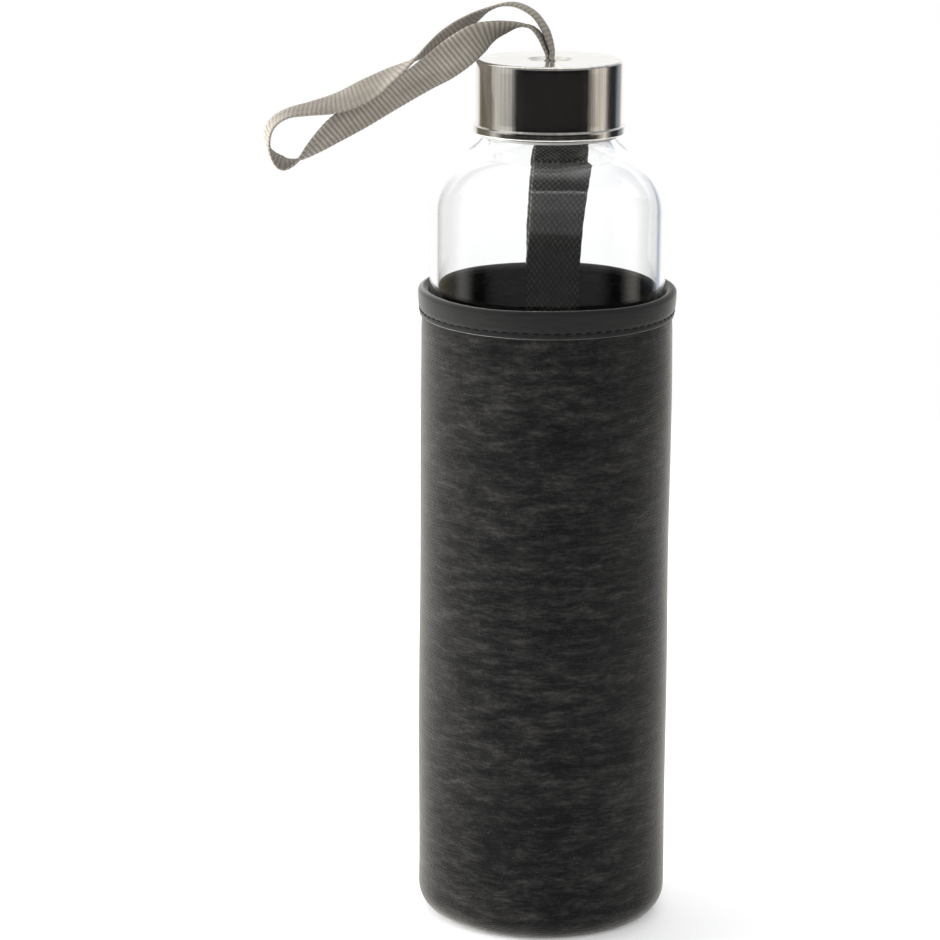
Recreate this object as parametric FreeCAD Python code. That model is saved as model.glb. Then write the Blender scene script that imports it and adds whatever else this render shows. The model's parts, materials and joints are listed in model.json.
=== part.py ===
import FreeCAD, Part
import math
import os

# A capped glass water bottle standing in a padded fabric sleeve. Millimetres, +Z up.
# The origin is the middle of the sleeve's base on the table, and +Y is the back,
# where the sleeve's hanging loop is sewn in.

Vec = FreeCAD.Vector
UP = Vec(0, 0, 1)

# Glass bottle
CAP_TOP_Z = 240.0
GLASS_R = 32.2
GLASS_WALL = 2.3
GLASS_BASE_THICK = 4.0
GLASS_HEEL_R = 7.5
PUSH_UP = 1.2
PUSH_UP_R = 21.0
SHOULDER_R = 18.8
SHOULDER_Z = 198.4
NECK_R = 16.2
NECK_FILLET = 6.0
NECK_SPLIT_Z = 219.0
LIP_Z = 234.1

# Screw thread on the neck and in the cap
PITCH = 4.0
THREAD_TURNS = 1.25
THREAD_START_Z = 225.4
THREAD_DEPTH = 1.1
THREAD_ROOT_W = 1.7
THREAD_CREST_W = 0.8
THREAD_GAP = 0.35
THREAD_SINK = 0.5
THREAD_START_ANGLE = 40

# Cap
CAP_R = 20.0
CAP_SKIN = 0.6
CAP_EDGE_R = 1.0
CAP_BEAD_R = 20.7
CAP_BEAD_H = 2.2
CAP_LOW_Z = 220.0
DIMPLE_R = 6.0
DIMPLE_DEPTH = 1.2
LINER_LOW_Z = 219.1
LINER_LIP_R = 18.4
LINER_FLOOR_Z = 235.7
GASKET_INNER_R = 13.5
GASKET_GAP = 0.1
RETAINER_R = 6.0
RETAINER_THICK = 1.7

# Carry strap
STRAP_W = 10.0
STRAP_PINCH_W = 8.6
STRAP_T = 1.0
STRAP_EXIT_Z = 241.5
STRAP_ROOT_Z = 240.2
STRAP_SLOT = (9.2, 2.8)

# Sleeve
SLEEVE_R = 34.4
SLEEVE_WALL = 1.8
SLEEVE_CORNER_R = 8.3
BASE_DISC_R = 24.0
BASE_SEAM_GAP = 0.4
BINDING_R = 35.3
BINDING_INNER_R = 32.75
BINDING_DROP = 7.2
BINDING_HEM_R = 34.75
CREST_FRONT_Z = 176.7
CREST_REAR_Z = 179.0

# Stitches
THREAD_R = 0.28
STITCH_LENGTH = 1.8
STITCH_PITCH = 2.9
STITCH_UP = 1.5
STITCH_SINK = 0.12
ZIGZAG_HALF_W = 1.3

# Hanging loop on the sleeve
LOOP_W = 16.0
LOOP_TAPE = 0.55
LOOP_INNER_R = 32.6
LOOP_FOOT_Z = 158.0
LOOP_BASE_Z = 179.6
LOOP_TOP_Z = 215.0
LOOP_OPEN = 2.0
LOOP_X = 1.6
LOOP_LEAN = 4.8

# Values that follow from those above
GLASS_BASE_Z = SLEEVE_WALL + 0.3
CREST_R = (BINDING_R - BINDING_INNER_R) / 2
CREST_RADIUS = BINDING_INNER_R + CREST_R
RIM_Z = (CREST_FRONT_Z + CREST_REAR_Z) / 2 - CREST_R
RIM_TILT = math.degrees(math.atan((CREST_REAR_Z - CREST_FRONT_Z) / (2 * CREST_RADIUS)))
DIMPLE_UNDER_Z = CAP_TOP_Z - DIMPLE_DEPTH - CAP_SKIN
LINER_R = CAP_R - CAP_SKIN
LINER_ROOT_R = NECK_R + THREAD_DEPTH + THREAD_GAP


def point(r, z):
    """A point of a lathe outline: r from the Z axis, at height z."""
    return Vec(r, 0, z)


def line(start, end):
    return Part.LineSegment(point(*start), point(*end)).toShape()


def arc(start, middle, end):
    return Part.Arc(point(*start), point(*middle), point(*end)).toShape()


def on_circle(centre, radius, degrees):
    angle = math.radians(degrees)
    return centre[0] + radius * math.cos(angle), centre[1] + radius * math.sin(angle)


def quarter(centre, radius, start, end):
    """An arc about a centre, from one angle to another, in degrees from +r to +z."""
    places = [on_circle(centre, radius, a) for a in (start, (start + end) / 2, end)]
    return arc(*places)


def lathe(edges):
    """Turn a closed outline about the Z axis."""
    face = Part.Face(Part.Wire(Part.__sortEdges__(edges)))
    return face.revolve(Vec(0, 0, 0), UP, 360)


def outline(*corners):
    """Straight edges through the corners, and back to the first."""
    return [line(a, b) for a, b in zip(corners, corners[1:] + corners[:1])]


def ring(inner, outer, low, high):
    return lathe(outline((inner, low), (outer, low), (outer, high), (inner, high)))


def disc(radius, low, high):
    return Part.makeCylinder(radius, high - low, Vec(0, 0, low))


def slot_prism(length, width, low, high):
    """An upright prism with round ends, long along Y."""
    straight = (length - width) / 2
    block = Part.makeBox(width, 2 * straight, high - low, Vec(-width / 2, -straight, low))
    ends = [Part.makeCylinder(width / 2, high - low, Vec(0, side * straight, low))
            for side in (-1, 1)]
    return block.multiFuse(ends).removeSplitter()


def tilted(shape):
    """Lean a shape made about the rim's plane, so that the back stands higher."""
    turned = shape.copy()
    turned.rotate(Vec(0, 0, 0), Vec(1, 0, 0), RIM_TILT)
    turned.translate(Vec(0, 0, RIM_Z))
    return turned


def screw_thread(radius, direction, start_z):
    """A trapezoid carried along a right-handed helix; direction is +1 outward, -1 inward."""
    helix = Part.makeHelix(PITCH, PITCH * THREAD_TURNS, radius)
    helix.translate(Vec(0, 0, start_z))
    base = radius - direction * THREAD_SINK
    crest = radius + direction * THREAD_DEPTH
    half_crest = THREAD_CREST_W / 2
    flank = (THREAD_ROOT_W / 2 - half_crest) / THREAD_DEPTH
    half_base = half_crest + flank * (THREAD_DEPTH + THREAD_SINK)
    corners = [(base, start_z - half_base), (crest, start_z - half_crest),
               (crest, start_z + half_crest), (base, start_z + half_base)]
    profile = Part.Wire(outline(*corners))
    thread = Part.Wire(helix).makePipeShell([profile], True, True)
    thread.rotate(Vec(0, 0, 0), UP, THREAD_START_ANGLE)
    return thread


def glass_outline(offset):
    """The bottle's side from heel to neck, moved inwards by offset."""
    centre_r = GLASS_R - SHOULDER_R
    reach = SHOULDER_R + NECK_FILLET
    fillet_r = NECK_R + NECK_FILLET
    rise = math.sqrt(reach ** 2 - (fillet_r - centre_r) ** 2)
    meet = math.degrees(math.atan2(rise, fillet_r - centre_r))
    heel = GLASS_HEEL_R - offset * 0.5
    floor = GLASS_BASE_Z + (GLASS_BASE_THICK if offset else 0)
    wall = GLASS_R - offset
    shoulder = quarter((centre_r, SHOULDER_Z), SHOULDER_R - offset, 0, meet)
    fillet = quarter((fillet_r, SHOULDER_Z + rise), NECK_FILLET + offset, meet + 180, 180)
    corner = quarter((wall - heel, floor + heel), heel, -90, 0)
    side = line((wall, floor + heel), (wall, SHOULDER_Z))
    neck_foot = SHOULDER_Z + rise
    return [corner, side, shoulder, fillet], (wall - heel, floor), neck_foot


def whole_glass():
    """Blown glass: straight sides, round shoulder, short neck with a thread."""
    outer, heel, neck_foot = glass_outline(0)
    inner, inner_heel, _ = glass_outline(GLASS_WALL)
    bore_r = NECK_R - GLASS_WALL
    lip_low = LIP_Z - GLASS_WALL / 2
    finish = [line((NECK_R, neck_foot), (NECK_R, lip_low)),
              arc((NECK_R, lip_low), (NECK_R - GLASS_WALL / 2, LIP_Z), (bore_r, lip_low)),
              line((bore_r, lip_low), (bore_r, neck_foot))]
    push_mid = (PUSH_UP_R * 0.5, GLASS_BASE_Z + PUSH_UP * 0.75)
    foot = [arc((0, GLASS_BASE_Z + PUSH_UP), push_mid, (PUSH_UP_R, GLASS_BASE_Z)),
            line((PUSH_UP_R, GLASS_BASE_Z), heel)]
    inner_floor = GLASS_BASE_Z + GLASS_BASE_THICK
    closing = [line(inner_heel, (0, inner_floor)),
               line((0, inner_floor), (0, GLASS_BASE_Z + PUSH_UP))]
    body = lathe(foot + outer + finish + inner + closing)
    return body.fuse(screw_thread(NECK_R, 1, THREAD_START_Z))


def glass_slice(low, high):
    """The part of the glass between two heights."""
    block = Part.makeCylinder(GLASS_R + 5, high - low, Vec(0, 0, low))
    return whole_glass().common(block)


def glass_bottle():
    """The glass up to the foot of its neck."""
    return glass_slice(0, NECK_SPLIT_Z)


def glass_neck():
    """The neck's screw finish, one piece of glass with the bottle under it."""
    return glass_slice(NECK_SPLIT_Z, CAP_TOP_Z)


def cap_shell():
    """Pressed steel: a skirt with a rolled bead, and a flat top with a dimple and a slot."""
    edge = CAP_EDGE_R
    dimple_z = CAP_TOP_Z - DIMPLE_DEPTH
    bead_high = CAP_LOW_Z + CAP_BEAD_H
    bead_mid = (CAP_LOW_Z + bead_high) / 2
    top_under = CAP_TOP_Z - CAP_SKIN
    slope = 0.4
    edges = [line((0, dimple_z), (DIMPLE_R - slope, dimple_z)),
             line((DIMPLE_R - slope, dimple_z), (DIMPLE_R, CAP_TOP_Z)),
             line((DIMPLE_R, CAP_TOP_Z), (CAP_R - edge, CAP_TOP_Z)),
             quarter((CAP_R - edge, CAP_TOP_Z - edge), edge, 90, 0),
             line((CAP_R, CAP_TOP_Z - edge), (CAP_R, bead_high)),
             arc((CAP_R, bead_high), (CAP_BEAD_R, bead_mid), (CAP_R, CAP_LOW_Z)),
             line((CAP_R, CAP_LOW_Z), (LINER_R, CAP_LOW_Z)),
             line((LINER_R, CAP_LOW_Z), (LINER_R, top_under)),
             line((LINER_R, top_under), (DIMPLE_R + CAP_SKIN, top_under)),
             line((DIMPLE_R + CAP_SKIN, top_under), (DIMPLE_R + CAP_SKIN, DIMPLE_UNDER_Z)),
             line((DIMPLE_R + CAP_SKIN, DIMPLE_UNDER_Z), (0, DIMPLE_UNDER_Z)),
             line((0, DIMPLE_UNDER_Z), (0, dimple_z))]
    slot = slot_prism(*STRAP_SLOT, DIMPLE_UNDER_Z - 1, CAP_TOP_Z)
    return lathe(edges).cut(slot)


def cap_liner():
    """Moulded insert inside the steel: screw thread, floor and a pocket for the retainer."""
    top = CAP_TOP_Z - CAP_SKIN
    well_r = DIMPLE_R + CAP_SKIN
    corners = [(0, LINER_FLOOR_Z), (LINER_ROOT_R, LINER_FLOOR_Z), (LINER_ROOT_R, LINER_LOW_Z),
               (LINER_LIP_R, LINER_LOW_Z), (LINER_LIP_R, CAP_LOW_Z), (LINER_R, CAP_LOW_Z),
               (LINER_R, top), (well_r, top), (well_r, DIMPLE_UNDER_Z), (0, DIMPLE_UNDER_Z)]
    insert = lathe(outline(*corners))
    pocket = disc(RETAINER_R, DIMPLE_UNDER_Z - RETAINER_THICK, DIMPLE_UNDER_Z + 1)
    thread = screw_thread(LINER_ROOT_R, -1, THREAD_START_Z - PITCH / 2)
    return insert.cut(pocket).fuse(thread)


def cap_gasket():
    """Soft ring pressed between the glass lip and the insert's floor."""
    outer = LINER_ROOT_R - THREAD_GAP
    return ring(GASKET_INNER_R, outer, LIP_Z + GASKET_GAP, LINER_FLOOR_Z - GASKET_GAP)


def strap_retainer():
    """Plug under the steel top whose slot grips both ends of the strap."""
    low = DIMPLE_UNDER_Z - RETAINER_THICK
    slot = slot_prism(STRAP_PINCH_W + 1, 2 * STRAP_T + 0.2, low - 1, DIMPLE_UNDER_Z + 1)
    return disc(RETAINER_R, low, DIMPLE_UNDER_Z).cut(slot)


def strap_root():
    """The strap's two ends, side by side, from the retainer up through the cap's slot."""
    low = DIMPLE_UNDER_Z - RETAINER_THICK
    half = STRAP_PINCH_W / 2 - STRAP_T / 2
    return Part.makeBox(2 * STRAP_T, 2 * half, STRAP_ROOT_Z - low, Vec(-STRAP_T, -half, low))


# The strap's middle line, from its exit out to the left and back: x, y, z and the
# turn of its width, in degrees from level (along Y) to upright.
STRAP_ROUTE = [
    (0.55, 0.0, STRAP_EXIT_Z, 0), (0.3, 0.4, 246.2, 5), (-2.4, 1.2, 251.0, 20), (-9.0, 2.0, 254.3, 45),
    (-18.0, 2.4, 251.4, 68), (-30.0, 2.4, 243.6, 82), (-42.0, 2.2, 235.8, 85),
    (-56.0, 1.6, 229.2, 78), (-68.0, 0.6, 225.2, 45), (-75.3, 0.0, 221.4, 10),
    (-76.8, 0.0, 217.0, 0), (-74.6, 0.0, 212.6, 0), (-69.6, -0.8, 211.4, 35),
    (-60.0, -2.0, 217.7, 75), (-46.0, -2.6, 226.8, 84), (-33.5, -2.6, 236.4, 82),
    (-22.0, -2.6, 244.6, 70), (-12.5, -2.2, 248.2, 48), (-5.6, -1.0, 247.6, 18),
    (-1.4, -0.3, 244.6, 4), (-0.55, 0.0, STRAP_EXIT_Z, 0)]
STRAP_STATIONS = 64


def strap_section(centre, along, turn, width):
    """A thin rectangle across the strap, as a closed wire."""
    level = Vec(0, 1, 0)
    upright = along.cross(level).normalize()
    if upright.z < 0:
        upright = -upright
    angle = math.radians(turn)
    across = (level * math.cos(angle) + upright * math.sin(angle)).normalize()
    through = along.cross(across).normalize()
    across, through = across * (width / 2), through * (STRAP_T / 2)
    corners = [centre + across + through, centre - across + through,
               centre - across - through, centre + across - through]
    return Part.makePolygon(corners + corners[:1])


def carry_strap():
    """Flat webbing in one loop, turned edge-on at its ends and upright between them."""
    path = Part.BSplineCurve()
    path.interpolate([Vec(*row[:3]) for row in STRAP_ROUTE])
    turns = Part.BSplineCurve()
    steps = [Vec(row[3], index, 0) for index, row in enumerate(STRAP_ROUTE)]
    turns.interpolate(Points=steps, Parameters=path.getKnots())
    first, last = path.FirstParameter, path.LastParameter
    sections = []
    for step in range(STRAP_STATIONS + 1):
        share = step / STRAP_STATIONS
        at = first + (last - first) * share
        along = path.tangent(at)[0]
        if step in (0, STRAP_STATIONS):
            along = UP if step == 0 else -UP
        ease = min(1, 8 * min(share, 1 - share))
        width = STRAP_PINCH_W + (STRAP_W - STRAP_PINCH_W) * ease
        sections.append(strap_section(path.value(at), along, turns.value(at).x, width))
    print("strap length", round(path.length(), 1))
    return Part.makeLoft(sections, True, True)


def sleeve_body():
    """Padded tube with a rounded foot, cut off along the leaning rim."""
    corner_in = SLEEVE_CORNER_R - SLEEVE_WALL
    centre = (SLEEVE_R - SLEEVE_CORNER_R, SLEEVE_CORNER_R)
    inner_r = SLEEVE_R - SLEEVE_WALL
    top = CREST_REAR_Z
    foot_r = BASE_DISC_R + BASE_SEAM_GAP
    edges = [line((foot_r, 0), (centre[0], 0)),
             quarter(centre, SLEEVE_CORNER_R, -90, 0),
             line((SLEEVE_R, centre[1]), (SLEEVE_R, top)),
             line((SLEEVE_R, top), (inner_r, top)),
             line((inner_r, top), (inner_r, centre[1])),
             quarter(centre, corner_in, 0, -90),
             line((centre[0], SLEEVE_WALL), (foot_r, SLEEVE_WALL)),
             line((foot_r, SLEEVE_WALL), (foot_r, 0))]
    above = Part.makeBox(100, 100, 50, Vec(-50, -50, 0))
    return lathe(edges).cut(tilted(above)).cut(sleeve_loop_foot())


def sleeve_base():
    return disc(BASE_DISC_R, 0, SLEEVE_WALL)


def rim_binding():
    """Rolled fabric edge over the top of the padded wall, full at its crest."""
    bulge = (BINDING_R, -BINDING_DROP * 0.35)
    hem_out, hem_in = (BINDING_HEM_R, -BINDING_DROP), (BINDING_INNER_R, -BINDING_DROP)
    roll = lathe([line(hem_in, hem_out), arc(hem_out, bulge, (BINDING_R - 0.02, 0)),
                  arc((BINDING_R - 0.02, 0), (CREST_RADIUS, CREST_R), (BINDING_INNER_R, 0)),
                  line((BINDING_INNER_R, 0), hem_in)])
    return tilted(roll).cut(sleeve_body()).cut(sleeve_loop_foot())


def stitch_ring(radius, height):
    """Stitches end to end round a circle, each a short length of thread."""
    count = round(2 * math.pi * radius / STITCH_PITCH)
    stitches = []
    for index in range(count):
        angle = 2 * math.pi * index / count
        outward = Vec(math.cos(angle), math.sin(angle), 0)
        along = Vec(-math.sin(angle), math.cos(angle), 0)
        start = outward * radius - along * (STITCH_LENGTH / 2) + UP * height
        stitches.append(Part.makeCylinder(THREAD_R, STITCH_LENGTH, start, along))
    return Part.makeCompound(stitches)


def rim_stitching():
    return tilted(stitch_ring(BINDING_HEM_R + 0.25, STITCH_UP - BINDING_DROP))


def rim_stitching_inner():
    """The same seam's other face; it stops at each side of the hanging loop."""
    seam = tilted(stitch_ring(BINDING_INNER_R + STITCH_SINK, STITCH_UP - BINDING_DROP))
    clear = LOOP_W / 2 + STITCH_LENGTH
    kept = [s for s in seam.Solids
            if s.CenterOfMass.y < 0 or abs(s.CenterOfMass.x - LOOP_X) > clear]
    return Part.makeCompound(kept)


def base_seam_stitching():
    return stitch_ring(BASE_DISC_R + BASE_SEAM_GAP / 2, THREAD_R + 0.1)


def back_seam_stitching():
    """A zigzag over the upright seam that closes the tube, at the back."""
    low, high = SLEEVE_CORNER_R + 2, RIM_Z - BINDING_DROP - 1
    count = round((high - low) / STITCH_PITCH)
    step = (high - low) / count
    stitches = []
    for index in range(count):
        side = 1 if index % 2 else -1
        start = Vec(side * ZIGZAG_HALF_W, SLEEVE_R, low + index * step)
        end = Vec(-side * ZIGZAG_HALF_W, SLEEVE_R, low + (index + 0.8) * step)
        run = end - start
        stitches.append(Part.makeCylinder(THREAD_R, run.Length, start, run))
    return Part.makeCompound(stitches)


def loop_foot_turned(shape):
    """Turn a shape made at the back, at +Y, to stand under the hanging loop."""
    turned = shape.copy()
    lean = -math.degrees(math.asin(LOOP_X / LOOP_INNER_R))
    turned.rotate(Vec(0, 0, 0), UP, lean)
    return turned


def sleeve_loop_foot():
    """Both ends of the hanging loop, sewn flat against the inside of the rim."""
    shell = ring(LOOP_INNER_R, LOOP_INNER_R + 2 * LOOP_TAPE, LOOP_FOOT_Z, LOOP_BASE_Z)
    block = Part.makeBox(LOOP_W, 20, 40, Vec(-LOOP_W / 2, 20, LOOP_FOOT_Z - 5))
    return loop_foot_turned(shell.common(block))


def loop_bartack():
    """Close rows of thread that hold the loop's foot."""
    rows = []
    for row in range(6):
        height = LOOP_FOOT_Z + 2.5 + 1.1 * row
        for column in range(-2, 3):
            angle = math.radians(90 + 4.6 * column)
            outward = Vec(math.cos(angle), math.sin(angle), 0)
            along = Vec(-math.sin(angle), math.cos(angle), 0)
            start = outward * (LOOP_INNER_R + STITCH_SINK) - along * 1.1 + UP * height
            rows.append(Part.makeCylinder(THREAD_R * 0.7, 2.2, start, along))
    return loop_foot_turned(Part.makeCompound(rows))


def sleeve_loop():
    """Webbing folded into a narrow standing loop, leaning a little to the right."""
    low = LOOP_BASE_Z + 0.7
    y_in, y_mid = LOOP_INNER_R, LOOP_INNER_R + LOOP_TAPE
    y_out = y_mid + LOOP_TAPE
    spread = y_out + LOOP_OPEN
    fold = (spread - y_in) / 2
    top = LOOP_TOP_Z - fold
    part_z = low + 7

    def edge(a, b):
        return Part.LineSegment(Vec(0, *a), Vec(0, *b)).toShape()

    def bend(a, b, c):
        return Part.Arc(Vec(0, *a), Vec(0, *b), Vec(0, *c)).toShape()

    wide = part_z + 8
    middle = (y_in + spread) / 2
    outside = [edge((y_in, low), (y_in, top)),
               bend((y_in, top), (middle, LOOP_TOP_Z), (spread, top)),
               edge((spread, top), (spread, wide)), edge((spread, wide), (y_out, part_z)),
               edge((y_out, part_z), (y_out, low)), edge((y_out, low), (y_in, low))]
    inside = [edge((y_mid, part_z), (y_mid, top)),
              bend((y_mid, top), (middle, LOOP_TOP_Z - LOOP_TAPE), (spread - LOOP_TAPE, top)),
              edge((spread - LOOP_TAPE, top), (spread - LOOP_TAPE, wide)),
              edge((spread - LOOP_TAPE, wide), (y_mid, part_z))]
    across = Vec(LOOP_W, 0, 0)
    loop = Part.Face(Part.Wire(outside)).extrude(across)
    loop = loop.cut(Part.Face(Part.Wire(inside)).extrude(across))
    loop.translate(Vec(LOOP_X - LOOP_W / 2, 0, 0))
    loop.rotate(Vec(LOOP_X, 0, LOOP_BASE_Z), Vec(0, 1, 0), LOOP_LEAN)
    return loop


NODES = [glass_bottle, glass_neck, cap_shell, cap_liner, cap_gasket, strap_retainer, strap_root,
         carry_strap, sleeve_body, sleeve_base, rim_binding, rim_stitching,
         rim_stitching_inner, base_seam_stitching, back_seam_stitching, sleeve_loop_foot,
         loop_bartack, sleeve_loop]


def main():
    os.makedirs("parts", exist_ok=True)
    for make in NODES:
        shape = make()
        name = make.__name__
        volume = round(shape.Volume, 1)
        print(name, "solids", len(shape.Solids), "valid", shape.isValid(), "volume", volume)
        shape.exportStep(f"parts/{name}.step")


main()
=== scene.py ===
import json
import math

import bmesh
import bpy
import numpy as np
from mathutils import Matrix, Vector


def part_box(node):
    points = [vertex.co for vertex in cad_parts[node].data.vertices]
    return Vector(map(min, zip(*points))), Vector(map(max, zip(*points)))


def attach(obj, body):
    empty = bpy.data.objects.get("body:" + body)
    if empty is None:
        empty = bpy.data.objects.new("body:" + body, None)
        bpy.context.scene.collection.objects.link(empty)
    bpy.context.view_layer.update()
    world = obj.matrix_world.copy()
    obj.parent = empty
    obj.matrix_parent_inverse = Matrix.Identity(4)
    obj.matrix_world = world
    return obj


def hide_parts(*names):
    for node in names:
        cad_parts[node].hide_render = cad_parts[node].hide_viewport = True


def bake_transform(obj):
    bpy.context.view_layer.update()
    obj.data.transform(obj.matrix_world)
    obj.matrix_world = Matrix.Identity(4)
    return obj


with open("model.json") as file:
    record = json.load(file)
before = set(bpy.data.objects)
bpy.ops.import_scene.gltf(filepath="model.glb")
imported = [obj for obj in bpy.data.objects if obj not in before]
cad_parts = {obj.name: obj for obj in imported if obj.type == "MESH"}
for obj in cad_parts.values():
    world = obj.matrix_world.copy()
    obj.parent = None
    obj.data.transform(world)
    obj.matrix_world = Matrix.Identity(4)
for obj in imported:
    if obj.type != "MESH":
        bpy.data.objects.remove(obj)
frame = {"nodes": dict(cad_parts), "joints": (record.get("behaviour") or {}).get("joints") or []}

# A capped glass bottle in a knitted sleeve. Metres, +Z up, +Y to the back; lengths
# given as numbers are in millimetres and are multiplied by MM.

MM = 0.001
TAU = 2 * math.pi
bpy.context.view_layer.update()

# Sizes read from the CAD nodes, in millimetres.


def span(node, axis):
    """Lowest and highest value of a node along x, y or z."""
    low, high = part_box(node)
    place = "xyz".index(axis)
    return low[place] / MM, high[place] / MM


GLASS_BASE = span("glass_bottle", "z")[0]
GLASS_TOP = span("glass_neck", "z")[1]
GLASS_R = span("glass_bottle", "x")[1]
CAP_LOW, CAP_TOP = span("cap_shell", "z")
CAP_BEAD_R = span("cap_shell", "x")[1]
SLEEVE_R = span("sleeve_body", "x")[1]
BASE_R = span("sleeve_base", "x")[1]
SLEEVE_WALL = span("sleeve_base", "z")[1]
BINDING_R = span("rim_binding", "x")[1]
LOOP_TOP = span("sleeve_loop", "z")[1]
FOOT_LOW, FOOT_TOP = span("sleeve_loop_foot", "z")
PIVOT = {joint["name"]: np.array(joint.get("pos_m", (0, 0, 0))) / MM
         for joint in frame["joints"]}

# Sizes that shape the parts inside those boxes, in millimetres.
GLASS_WALL = 2.3
GLASS_FLOOR = 4.0
HEEL_R = 7.5
PUSH_UP_R = 21
PUSH_UP = 1.2
SHOULDER_R = 18.8
SHOULDER_Z = 198.4
NECK_R = 16.2
NECK_FILLET = 11.0
PITCH = 4.0
THREAD_TURNS = 1.25
THREAD_START_Z = 225.4
THREAD_START_ANGLE = math.radians(40)
THREAD_DEPTH = 1.1
CAP_R = 20.0
CAP_SKIN = 0.6
DIMPLE_R = 6.0
DIMPLE_DEPTH = 0.6
STRAP_SLOT = (1.4, 4.6)
STRAP_W = 10.0
STRAP_T = 0.9
RIB_PITCH = 1.3
CORNER_R = 8.3
BINDING_INNER_R = 32.75
BINDING_DROP = 6.3
BINDING_HEM_R = 34.75
STITCH_UP = 1.5
STITCH_PITCH = 2.9
STITCH_LENGTH = 1.9
LOOP_W = 16.0
LOOP_X = 1.6
LOOP_LEAN = math.tan(math.radians(4.8))
FOOT_FACE_R = 32.45
CREST_R = (BINDING_R - BINDING_INNER_R) / 2
RIM_RISE = 2.3
CREST_RADIUS = BINDING_INNER_R + CREST_R
RIM_Z = PIVOT["loop_fold"][2] - RIM_RISE / 2


# ---------------------------------------------------------------- mesh helpers

def ease(value, low, high):
    """0 below low, 1 above high, and a smooth step between them."""
    t = np.clip((np.asarray(value, float) - low) / (high - low), 0, 1)
    return t * t * (3 - 2 * t)


def wobble(seed, waves, angle, height):
    """Sum of slow sine waves round an angle and along a height, between about -1 and 1."""
    rng = np.random.default_rng(seed)
    total = np.zeros(np.broadcast(angle, height).shape)
    for _ in range(waves):
        around, along = rng.integers(1, 7), rng.uniform(0.01, 0.09)
        total = total + np.sin(around * angle + along * height + rng.uniform(0, TAU))
    return total / math.sqrt(waves * 2)


def arc(centre, radius, start, end, count):
    """Points on a circle from one angle to another, in degrees from +r to +z."""
    turn = np.radians(np.linspace(start, end, count))
    return np.stack([centre[0] + radius * np.cos(turn), centre[1] + radius * np.sin(turn)], 1)


def run(start, end, count):
    """Evenly spaced points on a straight line."""
    return np.linspace(start, end, count)


def join(*stretches):
    """One outline from several, with the doubled points between them left out."""
    points = np.concatenate(stretches)
    keep = np.ones(len(points), bool)
    keep[1:] = np.linalg.norm(np.diff(points, axis=0), axis=1) > 1e-6
    return points[keep]


def new_object(name, mesh, material):
    """Put a mesh in the scene as a named piece with one material."""
    mesh.materials.append(material)
    piece = bpy.data.objects.new(name, mesh)
    bpy.context.scene.collection.objects.link(piece)
    return piece


def surface(name, points, material, wrap_rows=False, wrap_cols=False, uv=None):
    """A smooth quad mesh through a rows by cols grid of points in millimetres.

    Either way of the grid may close on itself. uv holds one more row or column
    than the points where that way is closed. Rows shrunk to one point are merged.
    """
    rows, cols = points.shape[:2]
    r = np.arange(rows if wrap_rows else rows - 1)[:, None]
    c = np.arange(cols if wrap_cols else cols - 1)[None, :]
    corners = [(r, c), (r, c + 1), (r + 1, c + 1), (r + 1, c)]
    loops = np.stack([(a % rows) * cols + b % cols for a, b in corners], -1).reshape(-1)
    mesh = bpy.data.meshes.new(name)
    mesh.vertices.add(rows * cols)
    mesh.vertices.foreach_set("co", (points * MM).astype(np.float32).ravel())
    count = len(loops) // 4
    mesh.loops.add(len(loops))
    mesh.loops.foreach_set("vertex_index", loops.astype(np.int32))
    mesh.polygons.add(count)
    mesh.polygons.foreach_set("loop_start", np.arange(0, len(loops), 4, dtype=np.int32))
    mesh.polygons.foreach_set("use_smooth", np.ones(count, bool))
    mesh.update(calc_edges=True)
    if uv is not None:
        layer = mesh.uv_layers.new(name="UVMap")
        flat = np.stack([uv[np.broadcast_to(a, (len(r), c.shape[1])),
                            np.broadcast_to(b, (len(r), c.shape[1]))] for a, b in corners], 2)
        layer.data.foreach_set("uv", (flat * MM).astype(np.float32).ravel())
    mesh.validate()
    piece = new_object(name, mesh, material)
    merge_points(piece)
    return piece


def merge_points(piece, distance=1e-7):
    """Join points closer than a distance in metres, and turn every face outwards."""
    work = bmesh.new()
    work.from_mesh(piece.data)
    bmesh.ops.remove_doubles(work, verts=work.verts, dist=distance)
    bmesh.ops.dissolve_degenerate(work, dist=distance / 10, edges=work.edges)
    bmesh.ops.recalc_face_normals(work, faces=work.faces)
    work.to_mesh(piece.data)
    work.free()


def lathe(name, outline, columns, material, shape=None, closed=True):
    """Carry an outline of (radius, height) round the Z axis, starting from the back.

    shape takes the grids of angle, radius and height and gives them back changed.
    The UV map is arc length round the widest place, and length along the outline.
    """
    angle = (np.arange(columns) / columns - 0.5) * TAU
    radius = np.repeat(outline[:, :1], columns, 1)
    height = np.repeat(outline[:, 1:], columns, 1)
    turn = np.broadcast_to(angle, radius.shape)
    if shape is not None:
        turn, radius, height = shape(turn, radius, height)
    points = np.stack([radius * np.sin(turn), -radius * np.cos(turn), height], -1)
    steps = np.linalg.norm(np.diff(outline, axis=0, append=outline[:1]), axis=1)
    along = np.concatenate([[0], np.cumsum(steps)])[:len(outline) + (1 if closed else 0)]
    around = np.arange(columns + 1) / columns * TAU * outline[:, 0].max()
    uv = np.stack(np.meshgrid(around, along), -1)
    return surface(name, points, material, wrap_rows=closed, wrap_cols=True, uv=uv)


def tilt_rim(points):
    """Lean points given about the rim's plane, so the back stands higher, and lift them."""
    lean = math.atan(RIM_RISE / (2 * CREST_RADIUS))
    x, y, z = points[..., 0], points[..., 1], points[..., 2]
    leaned = [x, y * math.cos(lean) - z * math.sin(lean),
              y * math.sin(lean) + z * math.cos(lean) + RIM_Z]
    return np.stack(leaned, -1)


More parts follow.
